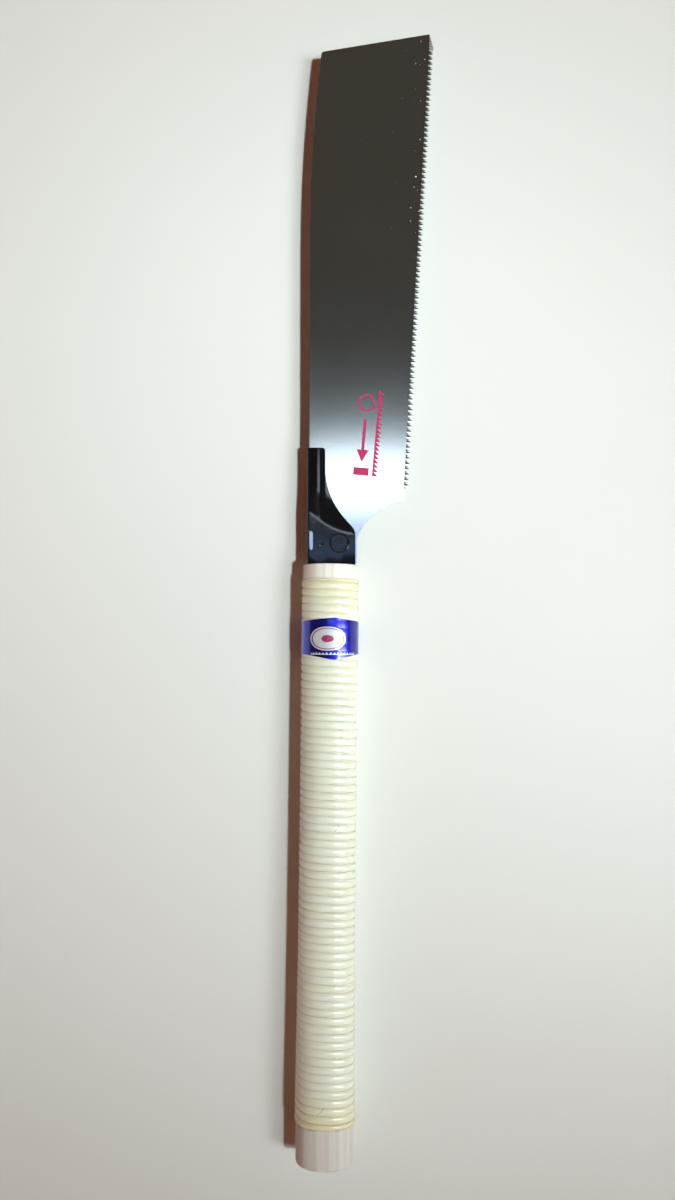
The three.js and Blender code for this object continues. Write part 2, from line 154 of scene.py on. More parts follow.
def weighNormals(piece):
    weights = piece.modifiers.new("weights", "WEIGHTED_NORMAL")
    weights.keep_sharp = True


# Blade steel: high-carbon plate, polished and hard chromed, so that it mirrors softly. The teeth are
# hardened by a pulse of heat, which leaves them dark grey and dull, and every second one shows a
# bright ground bevel along its back. The sheared edges are dull too.
bladeValues = {
    "plate": [(0.3, "#c8cac8"), (0.7, "#cecfcd")],
    "heat": "#5c5a58",
    "bevel": "#e6e6e2",
    "polished": (0.145, 0.185),  # roughness, least and most
    "dullness": 0.4,  # what heat and shears add to it
    "polishLine": 0.14,  # mm across a polishing line
    "polishRun": 60,
    "polishDepth": 0.01,
    "polishStrength": 0.02,
    "flatCosine": math.cos(math.radians(2)),  # a face that leans more than this isn't the plate's
    "bevelCosine": math.cos(math.radians(8)),  # one that leans more than this is ground
    "heelTooth": (42.6, 42.2),  # where the tooth line starts, from the middle of the handle's top
    "toothLean": math.radians(-3.53),
    "toothDepth": 2.6,
    "toothPitch": 1.5,
    "bevelSlopeShare": 0.757,  # how far a tooth's back runs along the line, for the tooth's depth
    "bevelStartShare": 0.66,
    "dust": "#f4f4f0",
    "speckCell": 2.6,  # mm from one fleck of dust to the next
    "speckShare": 0.17,  # the largest fleck's radius, of that
    "dustCloud": 40,  # mm from one dusty or duller patch to the next
    "dustCloudEdges": (0.4, 0.62),  # the cloud's values where dust starts and where it is thickest
    "dustBand": (26, 5.2),  # mm from the tooth line between which it gets thicker
    "dustElsewhere": 0.2,  # how large the flecks are elsewhere, of their size beside the teeth
}


def makeBladeSteel():
    values = bladeValues
    material, tree, shader = startMaterial("chromedSawPlate", {"Metallic": 1})
    place = millimetres(tree)
    facing = addNode(tree, "ShaderNodeNewGeometry").outputs["True Normal"]
    lean = addNode(tree, "ShaderNodeVectorTransform", {
        "vector_type": "NORMAL", "convert_from": "WORLD", "convert_to": "OBJECT",
    }, {"Vector": facing}).outputs[0]
    upright = addNode(tree, "ShaderNodeSeparateXYZ", {}, {"Vector": lean}).outputs["Z"]
    level = addNode(tree, "ShaderNodeMath", {"operation": "ABSOLUTE"}, {0: upright}).outputs[0]
    tinted = addNode(tree, "ShaderNodeMath", {"operation": "LESS_THAN", 1: values["flatCosine"]}, {
        0: level,
    }).outputs[0]
    ground = addNode(tree, "ShaderNodeMath", {"operation": "LESS_THAN", 1: values["bevelCosine"]}, {
        0: level,
    }).outputs[0]

    # Along the tooth line, in teeth, and across it, in tooth depths
    onLine = addNode(tree, "ShaderNodeMapping", {
        "vector_type": "TEXTURE",
        "Location": alongBlade @ (Vector((*values["heelTooth"], 0)) * mm) / mm,
        "Rotation": (0, 0, layout["bladeLean"] + values["toothLean"]),
        "Scale": (values["toothDepth"], values["toothPitch"], 1),
    }, {"Vector": place}).outputs[0]
    shares = addNode(tree, "ShaderNodeSeparateXYZ", {}, {"Vector": onLine}).outputs
    inTooth = addNode(tree, "ShaderNodeMath", {"operation": "FRACT"}, {0: shares["Y"]}).outputs[0]
    fromBack = addNode(tree, "ShaderNodeMath", {
        "operation": "MULTIPLY_ADD", 1: values["bevelSlopeShare"],
    }, {0: shares["X"], 2: inTooth}).outputs[0]
    nearBack = addNode(tree, "ShaderNodeMath", {
        "operation": "GREATER_THAN", 1: values["bevelStartShare"] - values["bevelSlopeShare"],
    }, {0: fromBack}).outputs[0]
    bright = addNode(tree, "ShaderNodeMath", {"operation": "MULTIPLY"}, {
        0: ground, 1: nearBack,
    }).outputs[0]

    across = 1 / values["polishLine"]
    lines = addNode(tree, "ShaderNodeMapping", {"Scale": (across, 1 / values["polishRun"], across)}, {
        "Vector": place,
    }).outputs[0]
    polish = addNode(tree, "ShaderNodeTexNoise", {"Scale": 1, "Detail": 2}, {
        "Vector": lines,
    }).outputs["Fac"]
    cloud = addNode(tree, "ShaderNodeTexNoise", {"Scale": 1 / values["dustCloud"], "Detail": 3}, {
        "Vector": place,
    }).outputs["Fac"]
    plateTone = addNode(tree, "ShaderNodeValToRGB", {"stops": values["plate"]}, {"Fac": polish}).outputs[0]
    heatTone = addNode(tree, "ShaderNodeMix", {"data_type": "RGBA", 7: linearFromHex(values["heat"])}, {
        0: tinted, 6: plateTone,
    }).outputs[2]
    bevelTone = addNode(tree, "ShaderNodeMix", {
        "data_type": "RGBA", 7: linearFromHex(values["bevel"]),
    }, {0: bright, 6: heatTone}).outputs[2]

    # Flecks of dust, thickest beside the teeth
    cells = addNode(tree, "ShaderNodeTexVoronoi", {"Scale": 1 / values["speckCell"]}, {"Vector": place})
    chances = addNode(tree, "ShaderNodeSeparateColor", {}, {"Color": cells.outputs["Color"]}).outputs
    crowd = addNode(tree, "ShaderNodeMapRange", {
        "From Min": values["dustCloudEdges"][0], "From Max": values["dustCloudEdges"][1],
    }, {"Value": cloud}).outputs[0]
    beside = addNode(tree, "ShaderNodeMapRange", {
        "From Min": -values["dustBand"][0] / values["toothDepth"],
        "From Max": -values["dustBand"][1] / values["toothDepth"],
        "To Min": values["dustElsewhere"],
    }, {"Value": shares["X"]}).outputs[0]
    dusty = addNode(tree, "ShaderNodeMath", {"operation": "MULTIPLY"}, {0: crowd, 1: beside}).outputs[0]
    wanted = addNode(tree, "ShaderNodeMath", {"operation": "MULTIPLY"}, {
        0: dusty, 1: chances["Red"],
    }).outputs[0]
    reach = addNode(tree, "ShaderNodeMath", {"operation": "MULTIPLY", 1: values["speckShare"]}, {
        0: wanted,
    }).outputs[0]
    fleck = addNode(tree, "ShaderNodeMath", {"operation": "LESS_THAN"}, {
        0: cells.outputs["Distance"], 1: reach,
    }).outputs[0]
    dust = addNode(tree, "ShaderNodeMath", {"operation": "MULTIPLY"}, {
        0: fleck, 1: chances["Green"],
    }).outputs[0]
    colour = addNode(tree, "ShaderNodeMix", {"data_type": "RGBA", 7: linearFromHex(values["dust"])}, {
        0: dust, 6: bevelTone,
    }).outputs[2]

    polished = addNode(tree, "ShaderNodeMapRange", {
        "To Min": values["polished"][0], "To Max": values["polished"][1],
    }, {"Value": cloud}).outputs[0]
    satin = addNode(tree, "ShaderNodeMath", {"operation": "MULTIPLY_ADD", 1: values["dullness"]}, {
        0: tinted, 2: polished,
    }).outputs[0]
    rough = addNode(tree, "ShaderNodeMath", {"operation": "MAXIMUM"}, {0: satin, 1: fleck}).outputs[0]
    bare = addNode(tree, "ShaderNodeMath", {"operation": "SUBTRACT", 0: 1}, {1: dust}).outputs[0]
    bump = addNode(tree, "ShaderNodeBump", {
        "Strength": values["polishStrength"], "Distance": values["polishDepth"] * mm,
    }, {"Height": polish}).outputs[0]
    tree.links.new(colour, shader.inputs["Base Color"])
    tree.links.new(rough, shader.inputs["Roughness"])
    tree.links.new(bare, shader.inputs["Metallic"])
    tree.links.new(bump, shader.inputs["Normal"])
    return material


bladeSteel = makeBladeSteel()
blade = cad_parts["blade"]
blade.data.materials.clear()
blade.data.materials.append(bladeSteel)
print("Blade finished")


# Blade mark: a generic print in matt crimson screen ink beside the spine, an arrow for the pull, a band
# of teeth and a ring. It rides on the blade.
markValues = {
    "foot": (12.2, 50),  # its lower left corner, from the middle of the handle's top
    "lean": math.radians(-5),
    "bladeHalf": 0.3,
    "ink": 0.02,
    "block": (0, 0, 8.4, 4.2),
    "shaft": (3.3, 14.2, 4.9, 31),
    "arrowHead": [(0.7, 14.2), (4.1, 7.4), (7.5, 14.2)],
    "band": (10.4, 0, 11.1, 48),
    "bandTeeth": 20,
    "bandToothDepth": 2.4,
    "ring": (4.1, 40.5, 4.9, 3.9),  # its middle and its two radii
    "ringSteps": 40,
    "crimson": [(0.35, "#b3245a"), (0.65, "#c42e68")],
    "roughness": (0.35, 0.5),
    "sheen": 0.4,
    "grain": 1 / 3,  # mm from one speck of pigment to the next
}


def rectangle(left, low, right, high):
    return [(left, low), (right, low), (right, high), (left, high)]


def markOutlines():
    left, low, right, high = markValues["band"]
    pitch = (high - low) / markValues["bandTeeth"]
    outlines = [rectangle(*markValues[name]) for name in ("block", "shaft", "band")]
    outlines.append(markValues["arrowHead"])
    for i in range(markValues["bandTeeth"]):
        foot = low + i * pitch
        tip = right + markValues["bandToothDepth"]
        outlines.append([(right, foot), (tip, foot), (right, foot + pitch)])
    x, y, outer, inner = markValues["ring"]
    for i in range(markValues["ringSteps"]):
        sides = [fullTurn * (i + end) / markValues["ringSteps"] for end in (0, 1)]
        outline = [(x + outer * math.cos(side), y + outer * math.sin(side)) for side in sides]
        outline += [(x + inner * math.cos(side), y + inner * math.sin(side)) for side in reversed(sides)]
        outlines.append(outline)
    return outlines


def makeMarkInk():
    values = markValues
    material, tree, shader = startMaterial("screenPrintInk", {"Specular IOR Level": values["sheen"]})
    place = millimetres(tree)
    grain = addNode(tree, "ShaderNodeTexNoise", {"Scale": 1 / values["grain"], "Detail": 3}, {
        "Vector": place,
    }).outputs["Fac"]
    colour = addNode(tree, "ShaderNodeValToRGB", {"stops": values["crimson"]}, {"Fac": grain}).outputs[0]
    rough = addNode(tree, "ShaderNodeMapRange", {
        "To Min": values["roughness"][0], "To Max": values["roughness"][1],
    }, {"Value": grain}).outputs[0]
    tree.links.new(colour, shader.inputs["Base Color"])
    tree.links.new(rough, shader.inputs["Roughness"])
    return material


def makeMark(material):
    bm = bmesh.new()
    for outline in markOutlines():
        bm.faces.new([bm.verts.new((x * mm, y * mm, 0)) for x, y in outline])
    bmesh.ops.remove_doubles(bm, verts=bm.verts, dist=weld)
    bmesh.ops.recalc_face_normals(bm, faces=bm.faces)
    top = bmesh.ops.extrude_face_region(bm, geom=bm.faces[:])
    raised = [part for part in top["geom"] if isinstance(part, bmesh.types.BMVert)]
    bmesh.ops.translate(bm, vec=(0, 0, markValues["ink"] * mm), verts=raised)
    bmesh.ops.recalc_face_normals(bm, faces=bm.faces)
    turn = Matrix.Rotation(markValues["lean"], 4, "Z")
    foot = Vector((*markValues["foot"], markValues["bladeHalf"])) * mm
    bmesh.ops.transform(bm, matrix=alongBlade @ Matrix.Translation(foot) @ turn, verts=bm.verts)
    finishPiece(bm, "blade_mark", material, "blade")


makeMark(makeMarkInk())
print("Blade mark finished")


# Holder enamel: stoved black enamel on pressed steel. It is deep black and glossy, with a faint orange
# peel that frays its reflections.
holderValues = {
    "slivers": 0.06,  # mm, shorter edges are closed before the bevel
    "bevel": 0.14,
    "bevelSegments": 2,
    "sharpAngle": math.radians(28),
    "flatAngle": math.radians(0.4),
    "black": "#0d0d10",
    "roughness": (0.09, 0.14),
    "haze": 5,  # mm from one duller patch to the next
    "peelSize": 0.8,  # mm from one dimple of the orange peel to the next
    "peelDepth": 0.015,
    "peelStrength": 0.2,
}


def makeHolderEnamel():
    values = holderValues
    material, tree, shader = startMaterial("stovedBlackEnamel", {
        "Base Color": linearFromHex(values["black"]),
    })
    place = millimetres(tree)
    peel = addNode(tree, "ShaderNodeTexNoise", {"Scale": 1 / values["peelSize"], "Detail": 2}, {
        "Vector": place,
    }).outputs["Fac"]
    bump = addNode(tree, "ShaderNodeBump", {
        "Strength": values["peelStrength"], "Distance": values["peelDepth"] * mm,
    }, {"Height": peel}).outputs[0]
    haze = addNode(tree, "ShaderNodeTexNoise", {"Scale": 1 / values["haze"], "Detail": 4}, {
        "Vector": place,
    }).outputs["Fac"]
    rough = addNode(tree, "ShaderNodeMapRange", {
        "To Min": values["roughness"][0], "To Max": values["roughness"][1],
    }, {"Value": haze}).outputs[0]
    tree.links.new(bump, shader.inputs["Normal"])
    tree.links.new(rough, shader.inputs["Roughness"])
    return material


def makeHolder(material):
    values = holderValues
    bm = meshOfNode("blade_holder")
    bmesh.ops.remove_doubles(bm, verts=bm.verts, dist=values["slivers"] * mm)
    bmesh.ops.dissolve_degenerate(bm, edges=bm.edges, dist=values["slivers"] * mm)
    bmesh.ops.dissolve_limit(bm, angle_limit=values["flatAngle"], verts=bm.verts, edges=bm.edges)
    sharp = [edge for edge in bm.edges if edge.calc_face_angle(0) > values["sharpAngle"]]
    bmesh.ops.bevel(bm, geom=sharp, offset=values["bevel"] * mm, segments=values["bevelSegments"],
                    profile=0.5, affect="EDGES", material=-1, clamp_overlap=True)
    smoothBelow(bm, values["sharpAngle"])
    weighNormals(finishPiece(bm, "holder_sheet", material, "handle", "blade_holder"))


holderEnamel = makeHolderEnamel()
makeHolder(holderEnamel)
print("Holder finished")


# Catch pin: a steel rivet, its two heads turned with a low rim and enamelled with the holder
pinValues = {
    "place": (4.79, 12),
    "seat": 3.2,  # blade's plane to the underside of a head
    "shank": 2.6,
    "head": [  # radius and height of a head's profile
        (5.5, 0), (5.5, 0.14), (5.42, 0.27), (5.25, 0.36), (5.02, 0.4), (4.8, 0.36), (4.6, 0.3),
        (4.3, 0.28), (2.6, 0.3), (0, 0.33),
    ],
    "steps": 96,
    "sharpAngle": math.radians(50),
}


def makePin(material):
    values = pinValues
    bm = bmesh.new()
    upper = [(radius, values["seat"] + height) for radius, height in values["head"]]
    lower = [(radius, -height) for radius, height in reversed(upper)]
    shank = [(values["shank"], -values["seat"]), (values["shank"], values["seat"])]
    verts = [bm.verts.new((radius * mm, 0, height * mm)) for radius, height in lower + shank + upper]
    for a, b in zip(verts, verts[1:]):
        bm.edges.new((a, b))
    bmesh.ops.spin(bm, geom=bm.verts[:] + bm.edges[:], cent=(0, 0, 0), axis=(0, 0, 1), angle=fullTurn,
                   steps=values["steps"], use_merge=True)
    bmesh.ops.remove_doubles(bm, verts=bm.verts, dist=weld)
    bmesh.ops.recalc_face_normals(bm, faces=bm.faces)
    smoothBelow(bm, values["sharpAngle"])
    place = Vector((*values["place"], 0)) * mm
    bmesh.ops.transform(bm, matrix=alongBlade @ Matrix.Translation(place), verts=bm.verts)
    finishPiece(bm, "catch_rivet", material, "handle", "catch_pin")


makePin(holderEnamel)
print("Catch pin finished")


# Handle wood: magnolia, planed and sanded, unvarnished. Close-grained and nearly white, with soft broad
# stripes along the handle.
woodValues = {
    "sharpAngle": math.radians(35),
    "flatAngle": math.radians(0.3),
    "roughness": 0.6,
    "sheen": 0.3,
    "treeCentre": (-75, 48),  # mm from the handle's line to the middle of the log
    "ringSpacing": 4.3,  # mm between growth rings
    "rings": [(0, "#f4f4ee"), (0.45, "#f1eee6"), (0.75, "#e9e4da"), (1, "#f4f4ee")],
    "sway": 8,  # mm that a ring wanders off its circle
    "swayScale": (0.05, 0.006, 0.05),  # waves in a mm: one in 20 mm across, one in 167 mm along
    "fibres": [(0.35, "#f9f6f2"), (0.65, "#ffffff")],
    "fibreScale": (2, 0.05, 2),  # a bundle of fibres is 0.5 mm wide and 20 mm long
    "fibreDepth": 0.02,
    "fibreStrength": 0.15,
    "greyingSpan": (-150, -300),  # mm along Y over which it turns a little greyer towards the butt
    "buttGreying": [(0, "#ffffff"), (1, "#e6e4e4")],
}


def makeHandleWood():
    values = woodValues
    material, tree, shader = startMaterial("sandedMagnolia", {
        "Roughness": values["roughness"], "Specular IOR Level": values["sheen"],
    })
    place = millimetres(tree)
    centre = (
        layout["handleLineX"] + values["treeCentre"][0], 0,
        layout["bladeLevel"] + values["treeCentre"][1],
    )
    fromCentre = addNode(tree, "ShaderNodeVectorMath", {"operation": "SUBTRACT", 1: centre}, {
        0: place,
    }).outputs[0]
    inPlane = addNode(tree, "ShaderNodeVectorMath", {"operation": "MULTIPLY", 1: (1, 0, 1)}, {
        0: fromCentre,
    }).outputs[0]
    radius = addNode(tree, "ShaderNodeVectorMath", {"operation": "LENGTH"}, {
        0: inPlane,
    }).outputs["Value"]
    swayIn = addNode(tree, "ShaderNodeMapping", {"Scale": values["swayScale"]}, {
        "Vector": place,
    }).outputs[0]
    sway = addNode(tree, "ShaderNodeTexNoise", {"Scale": 1, "Detail": 2}, {
        "Vector": swayIn,
    }).outputs["Fac"]
    swayed = addNode(tree, "ShaderNodeMath", {"operation": "MULTIPLY_ADD", 1: values["sway"]}, {
        0: sway, 2: radius,
    }).outputs[0]
    rings = addNode(tree, "ShaderNodeMath", {"operation": "MULTIPLY", 1: 1 / values["ringSpacing"]}, {
        0: swayed,
    }).outputs[0]
    season = addNode(tree, "ShaderNodeMath", {"operation": "FRACT"}, {0: rings}).outputs[0]
    ringTone = addNode(tree, "ShaderNodeValToRGB", {"stops": values["rings"]}, {"Fac": season}).outputs[0]
    fibreIn = addNode(tree, "ShaderNodeMapping", {"Scale": values["fibreScale"]}, {
        "Vector": place,
    }).outputs[0]
    fibre = addNode(tree, "ShaderNodeTexNoise", {"Scale": 1, "Detail": 4}, {
        "Vector": fibreIn,
    }).outputs["Fac"]
    fibreTone = addNode(tree, "ShaderNodeValToRGB", {"stops": values["fibres"]}, {"Fac": fibre}).outputs[0]
    # Greyer towards the butt end: a plain darkening of the wood from 150 mm to 300 mm down the handle
    down = addNode(tree, "ShaderNodeSeparateXYZ", {}, {"Vector": place}).outputs["Y"]
    towardButt = addNode(tree, "ShaderNodeMapRange", {
        "From Min": values["greyingSpan"][0], "From Max": values["greyingSpan"][1],
    }, {"Value": down}).outputs[0]
    buttGreyTone = addNode(tree, "ShaderNodeValToRGB", {"stops": values["buttGreying"]}, {"Fac": towardButt}).outputs[0]
    colour = ringTone
    for tint in (fibreTone, buttGreyTone):
        colour = addNode(tree, "ShaderNodeMix", {"data_type": "RGBA", "blend_type": "MULTIPLY", 0: 1}, {
            6: colour, 7: tint,
        }).outputs[2]
    bump = addNode(tree, "ShaderNodeBump", {
        "Strength": values["fibreStrength"], "Distance": values["fibreDepth"] * mm,
    }, {"Height": fibre}).outputs[0]
    tree.links.new(colour, shader.inputs["Base Color"])
    tree.links.new(bump, shader.inputs["Normal"])
    return material


def makeHandleHalf(side, material):
    node = f"handle_half_{side}"
    bm = meshOfNode(node)
    bmesh.ops.dissolve_limit(bm, angle_limit=woodValues["flatAngle"], verts=bm.verts, edges=bm.edges)
    smoothBelow(bm, woodValues["sharpAngle"])
    weighNormals(finishPiece(bm, f"wood_half_{side}", material, "handle", node))


handleWood = makeHandleWood()
for side in ("upper", "lower"):
    makeHandleHalf(side, handleWood)
print("Handle wood finished")


# Rattan: the skin side of a split cane, wound damp and left natural. It is domed, satin and ivory,
# yellower at both ends, with fine fibres along it, a few brown node scars and four scarfed joints.
windingValues = {
    "turns": 70,
    "steps": 60,  # in a turn
    "collar": 7.6,  # mm from the handle's top to the first turn
    "butt": 293.9,  # and to the end of the last one
    "topHalfWidth": 15.66,
    "waistHalfWidth": 15.33,
    "endHalfWidth": 16.12,
    "thicknessShare": 0.765,
    "ovalPower": 2.15,
    "stripThickness": 0.8,
    "stripEdge": 0.22,
    "stripEndWidth": 0.6,
    "footShare": 0.96,  # how wide the strip's underside is, of the strip
    "domePower": 3,
    "topPoints": 9,
    "gap": 0.1,
    "firstAngle": math.radians(195),
    "restLevel": 0.02,
    "wander": 0.1,  # mm that an edge strays from a true helix
    "bulge": 0.05,  # mm that one turn stands out more than another
    "slowWaves": 0.9,  # in a turn, of what strays
    "quickWaves": 4.1,
    "quickShare": 0.5,
    "edgeRow": 3.7,  # rows of the noise, far enough apart to differ
    "bulgeRow": 8.1,
    "quickRow": 5,
    "weld": 0.0005,
    "sharpAngle": math.radians(60),
    "ivory": [(0.3, "#e9e9d2"), (0.5, "#eef0e0"), (0.7, "#eff2e8")],
    "ivoryScale": (0.014, 0.15, 0),  # waves in a mm along the strip, one in 71 mm, and in half its width
    "ends": [  # along the whole strip
        (0.0, "#fdf5dc"), (0.05, "#fffcf2"), (0.09, "#ffffff"), (0.93, "#ffffff"), (0.97, "#fdf8e6"),
        (0.985, "#faf0da"), (1.0, "#f7e9d0"),
    ],
    "fibres": [(0.35, "#efeee0"), (0.6, "#ffffff")],
    "fibreScale": (0.07, 6, 0),  # a bundle of fibres is 14 mm long and a third of a mm wide
    "fibreTint": 0.55,
    "fibreDepth": 0.015,
    "fibreStrength": 0.4,
    "roughness": (0.34, 0.5),
    "skin": (0.4, 0.9),  # how much of the cane's glassy skin is left, least and most
    "skinRoughness": 0.14,
    "scar": "#b98a63",
    "scarScale": (0.018, 0.55, 0),  # cells in a mm along the strip, one in 56 mm, and in half its width
    "scarEdges": (0.018, 0.045),  # from a cell's point, in cells: where the brown starts to fade and ends
    "scarTint": 0.4,
    "scarf": "#7d6244",
    "scarfEdges": (0.08, 0.22),  # mm from a cut, where its dirt starts to fade and where it ends
    "scarfTint": 0.75,
    "scarfCuts": [(67.27, 1.6), (32.34, 1.2), (52.9, 2.2), (9.86, 1.4)],  # in turns, and its slant in mm
}


def gripHalfWidth(down):
    values = windingValues
    share = (down - values["collar"]) / (values["butt"] - values["collar"])
    away = abs(share - 0.5) / 0.5
    end = values["topHalfWidth"] if share < 0.5 else values["endHalfWidth"]
    return values["waistHalfWidth"] + (end - values["waistHalfWidth"]) * away ** 2


def gripPoint(angle, down, raised):
    power = 2 / windingValues["ovalPower"]
    across, up = math.cos(angle), math.sin(angle)
    half = gripHalfWidth(down)
    x = (half + raised) * math.copysign(abs(across) ** power, across)
    z = (half * windingValues["thicknessShare"] + raised) * math.copysign(abs(up) ** power, up)
    level = max(layout["bladeLevel"] + z, windingValues["restLevel"])
    return Vector((layout["handleLineX"] + x, layout["handleTopY"] - down, level)) * mm


def stripSection():
    count = windingValues["topPoints"]
    foot = windingValues["footShare"]
    edge = windingValues["stripEdge"] / windingValues["stripThickness"]
    dome = []
    for i in range(count):
        across = math.sin(quarterTurn * (-1 + 2 * i / (count - 1)))
        dome.append((across, edge + (1 - edge) * (1 - abs(across) ** windingValues["domePower"])))
    return [(0, 0), (-foot, 0)] + dome + [(foot, 0), (0, 0)]


def windingEdges(turn):
    values = windingValues
    endRun = values["stripEndWidth"] + values["gap"]
    last = values["turns"] - 1
    pitch = (values["butt"] - values["collar"] - values["stripEndWidth"] - endRun) / last
    upper = min(turn, 1) * endRun + max(0, turn - 1) * pitch
    lower = values["stripEndWidth"] + min(turn, last) * pitch + max(0, turn - last) * endRun
    return values["collar"] + upper, values["collar"] + lower


def stray(turn, row):
    values = windingValues
    slow = noise.noise(Vector((turn * values["slowWaves"], row, 0)))
    quick = noise.noise(Vector((turn * values["quickWaves"], row, values["quickRow"])))
    return slow + values["quickShare"] * quick


def makeRattan():
    values = windingValues
    material, tree, shader = startMaterial("splitRattanSkin", {"Coat Roughness": values["skinRoughness"]})
    strip = addNode(tree, "ShaderNodeAttribute", {"attribute_name": "strip"}).outputs["Vector"]
    parts = addNode(tree, "ShaderNodeSeparateXYZ", {}, {"Vector": strip}).outputs
    fibreIn = addNode(tree, "ShaderNodeMapping", {"Scale": values["fibreScale"]}, {
        "Vector": strip,
    }).outputs[0]
    fibre = addNode(tree, "ShaderNodeTexNoise", {"Scale": 1, "Detail": 3}, {
        "Vector": fibreIn,
    }).outputs["Fac"]
    toneIn = addNode(tree, "ShaderNodeMapping", {"Scale": values["ivoryScale"]}, {
        "Vector": strip,
    }).outputs[0]
    tone = addNode(tree, "ShaderNodeTexNoise", {"Scale": 1, "Detail": 3}, {
        "Vector": toneIn,
    }).outputs["Fac"]
    ivory = addNode(tree, "ShaderNodeValToRGB", {"stops": values["ivory"]}, {"Fac": tone}).outputs[0]
    ends = addNode(tree, "ShaderNodeValToRGB", {"stops": values["ends"]}, {"Fac": parts["Z"]}).outputs[0]
    fibreTone = addNode(tree, "ShaderNodeValToRGB", {"stops": values["fibres"]}, {"Fac": fibre}).outputs[0]
    colour = ivory
    for tint, strength in ((ends, 1), (fibreTone, values["fibreTint"])):
        colour = addNode(tree, "ShaderNodeMix", {
            "data_type": "RGBA", "blend_type": "MULTIPLY", 0: strength,
        }, {6: colour, 7: tint}).outputs[2]

    scarIn = addNode(tree, "ShaderNodeMapping", {"Scale": values["scarScale"]}, {
        "Vector": strip,
    }).outputs[0]
    scars = addNode(tree, "ShaderNodeTexVoronoi", {"Scale": 1}, {"Vector": scarIn}).outputs["Distance"]
    scarShare = addNode(tree, "ShaderNodeMapRange", {
        "From Min": values["scarEdges"][0], "From Max": values["scarEdges"][1],
        "To Min": values["scarTint"], "To Max": 0,
    }, {"Value": scars}).outputs[0]
    colour = addNode(tree, "ShaderNodeMix", {"data_type": "RGBA", 7: linearFromHex(values["scar"])}, {
        0: scarShare, 6: colour,
    }).outputs[2]
    turnLength = fullTurn * values["waistHalfWidth"]
    for turn, slant in values["scarfCuts"]:
        line = addNode(tree, "ShaderNodeMath", {"operation": "MULTIPLY_ADD", 1: slant}, {
            0: parts["Y"], 2: parts["X"],
        }).outputs[0]
        away = addNode(tree, "ShaderNodeMath", {"operation": "SUBTRACT", 1: turn * turnLength}, {
            0: line,
        }).outputs[0]
        near = addNode(tree, "ShaderNodeMath", {"operation": "ABSOLUTE"}, {0: away}).outputs[0]
        cut = addNode(tree, "ShaderNodeMapRange", {
            "From Min": values["scarfEdges"][0], "From Max": values["scarfEdges"][1],
            "To Min": values["scarfTint"], "To Max": 0,
        }, {"Value": near}).outputs[0]
        colour = addNode(tree, "ShaderNodeMix", {
            "data_type": "RGBA", 7: linearFromHex(values["scarf"]),
        }, {0: cut, 6: colour}).outputs[2]

    bump = addNode(tree, "ShaderNodeBump", {
        "Strength": values["fibreStrength"], "Distance": values["fibreDepth"] * mm,
    }, {"Height": fibre}).outputs[0]
    rough = addNode(tree, "ShaderNodeMapRange", {
        "To Min": values["roughness"][0], "To Max": values["roughness"][1],
    }, {"Value": tone}).outputs[0]
    skin = addNode(tree, "ShaderNodeMapRange", {
        "To Min": values["skin"][0], "To Max": values["skin"][1],
    }, {"Value": fibre}).outputs[0]
    tree.links.new(colour, shader.inputs["Base Color"])
    tree.links.new(rough, shader.inputs["Roughness"])
    tree.links.new(skin, shader.inputs["Coat Weight"])
    tree.links.new(bump, shader.inputs["Normal"])
    return material


def makeWinding(material):
    values = windingValues
    turns = values["turns"]
    section = stripSection()
    gaps = len(section) - 1
    bm = bmesh.new()
    layer = bm.verts.layers.float_vector.new("strip")
    bmesh.ops.create_grid(bm, x_segments=turns * values["steps"], y_segments=gaps, size=1)
    for vert in bm.verts:
        turn = (vert.co.x + 1) / 2 * turns
        across, height = section[round((vert.co.y + 1) / 2 * gaps)]
        top, bottom = windingEdges(turn)
        if 1 < turn < turns - 1:
            top += values["wander"] * stray(turn - 1, values["edgeRow"])
            bottom += values["wander"] * stray(turn, values["edgeRow"])
        down = (top + bottom) / 2 + across * (bottom - top) / 2
        angle = values["firstAngle"] - turn * fullTurn
        lift = values["stripThickness"] * (height - 1)
        lift += values["bulge"] * stray(turn, values["bulgeRow"]) * height
        # mm along the strip, half widths across it, and its share of the whole strip
        vert[layer] = (turn * fullTurn * values["waistHalfWidth"], across, turn / turns)
        vert.co = gripPoint(angle, down, lift)
    bmesh.ops.remove_doubles(bm, verts=bm.verts, dist=values["weld"] * mm)
    bmesh.ops.holes_fill(bm, edges=bm.edges, sides=0)
    bmesh.ops.recalc_face_normals(bm, faces=bm.faces)
    smoothBelow(bm, values["sharpAngle"])
    finishPiece(bm, "rattan_winding", material, "handle", "rattan_wrap")


makeWinding(makeRattan())
print("Winding finished")


